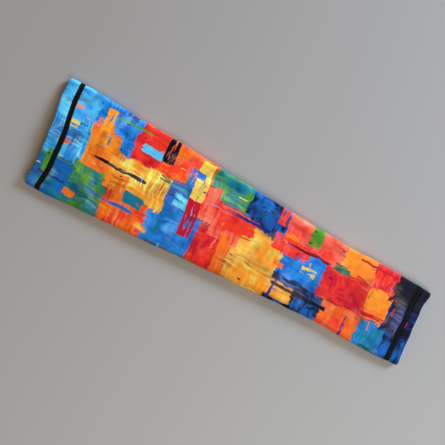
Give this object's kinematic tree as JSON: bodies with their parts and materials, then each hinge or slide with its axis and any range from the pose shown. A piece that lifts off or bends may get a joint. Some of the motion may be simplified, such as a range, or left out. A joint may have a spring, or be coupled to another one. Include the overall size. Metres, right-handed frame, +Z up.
{
  "type": "arm compression sleeve",
  "caption": "Tapered tube of printed stretch knit for the arm, lying flat, with a turned hem and black cover stitch at each mouth.",
  "frame": {"origin": "middle of the sleeve's footprint on the surface it lies on", "axes": "+X runs along the sleeve from the upper-arm mouth to the wrist mouth, +Z is up, away from the surface"},
  "size_m": [0.41, 0.115, 0.0137],
  "materials": {
    "printed_knit": "smooth printed stretch knit, soft sheen",
    "hem_knit": "smooth printed stretch knit, soft sheen",
    "black_thread": "matt polyester thread",
    "pale_thread": "matt polyester thread"
  },
  "bodies": {
    "root": {"knit_tube": "printed_knit", "upper_arm_hem": "hem_knit", "wrist_hem": "hem_knit", "upper_arm_cover_stitch": "black_thread", "wrist_cover_stitch": "black_thread", "closing_seam": "pale_thread"}
  },
  "joints": []
}
